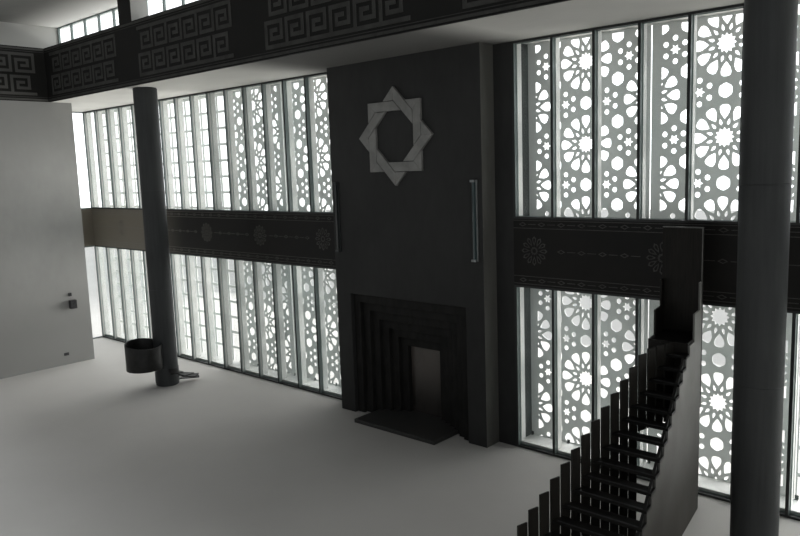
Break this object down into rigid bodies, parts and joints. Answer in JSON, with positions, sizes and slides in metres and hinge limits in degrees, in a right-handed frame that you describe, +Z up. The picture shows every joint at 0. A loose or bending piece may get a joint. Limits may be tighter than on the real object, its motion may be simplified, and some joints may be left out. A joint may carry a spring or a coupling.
{
  "type": "prayer end of a modern mosque hall",
  "caption": "Two-storey glazed prayer-hall wall with pierced screens, stepped niche in a dark block, frieze beam, round columns, pulpit stair and lectern.",
  "frame": {"origin": "on the floor under the middle of the niche, in the plane of the glazing", "axes": "+X along the wall to the right as seen from inside the hall, +Y out through the wall, +Z up"},
  "size_m": [30.6, 5.54, 10.45],
  "materials": {
    "charcoal_render": "matt charcoal render over a framed block",
    "warm_stone": "honed warm grey stone",
    "relief_paint": "satin grey paint",
    "lamp_body": "satin metal with a frosted strip",
    "dark_frame": "satin grey powder coat",
    "clear_glass": "clear float glass",
    "dark_band": "matt black-brown panels with incised ornament",
    "pale_fins": "light grey powder coat",
    "screen_grey": "mid grey powder coat on pierced sheet",
    "grey_concrete": "smooth dark grey concrete",
    "white_plaster": "matt off-white plaster",
    "dark_frieze": "matt near-black frieze with raised fret",
    "pale_panel": "light grey matt panel",
    "dark_timber": "black-brown stained oak",
    "dark_steel": "matt dark grey steel"
  },
  "bodies": {
    "root": {"clerestory_frame": "dark_frame", "clerestory_glass": "clear_glass", "column_left": "grey_concrete", "column_right": "grey_concrete", "flank_wall_left": "charcoal_render", "flank_wall_right": "charcoal_render", "glass_lower_left": "clear_glass", "glass_lower_right": "clear_glass", "glass_upper_left": "clear_glass", "glass_upper_right": "clear_glass", "glazing_frame_lower_left": "dark_frame", "glazing_frame_lower_right": "dark_frame", "glazing_frame_upper_left": "dark_frame", "glazing_frame_upper_right": "dark_frame", "lectern_drum": "dark_steel", "lectern_steps": "dark_steel", "low_ceiling": "white_plaster", "mihrab_block": "charcoal_render", "mihrab_plinth": "charcoal_render", "niche_back_panel": "warm_stone", "niche_steps": "charcoal_render", "pulpit_boards": "dark_timber", "pulpit_flight": "dark_timber", "pulpit_platform": "dark_timber", "pulpit_side_wall": "pale_panel", "ring_beam": "dark_frieze", "screen_1_left": "screen_grey", "screen_1_right": "screen_grey", "screen_2_left": "screen_grey", "screen_2_right": "screen_grey", "screen_3_left": "screen_grey", "screen_3_right": "screen_grey", "screen_4_left": "screen_grey", "screen_4_right": "screen_grey", "screen_5_left": "screen_grey", "screen_5_right": "screen_grey", "screen_carrier_left": "pale_fins", "screen_carrier_right": "pale_fins", "side_wall_left": "white_plaster", "side_wall_right": "white_plaster", "spandrel_band_left": "dark_band", "spandrel_band_right": "dark_band", "star_relief": "relief_paint", "upper_ceiling": "white_plaster", "wall_lamp_left": "lamp_body", "wall_lamp_right": "lamp_body"}
  },
  "joints": []
}
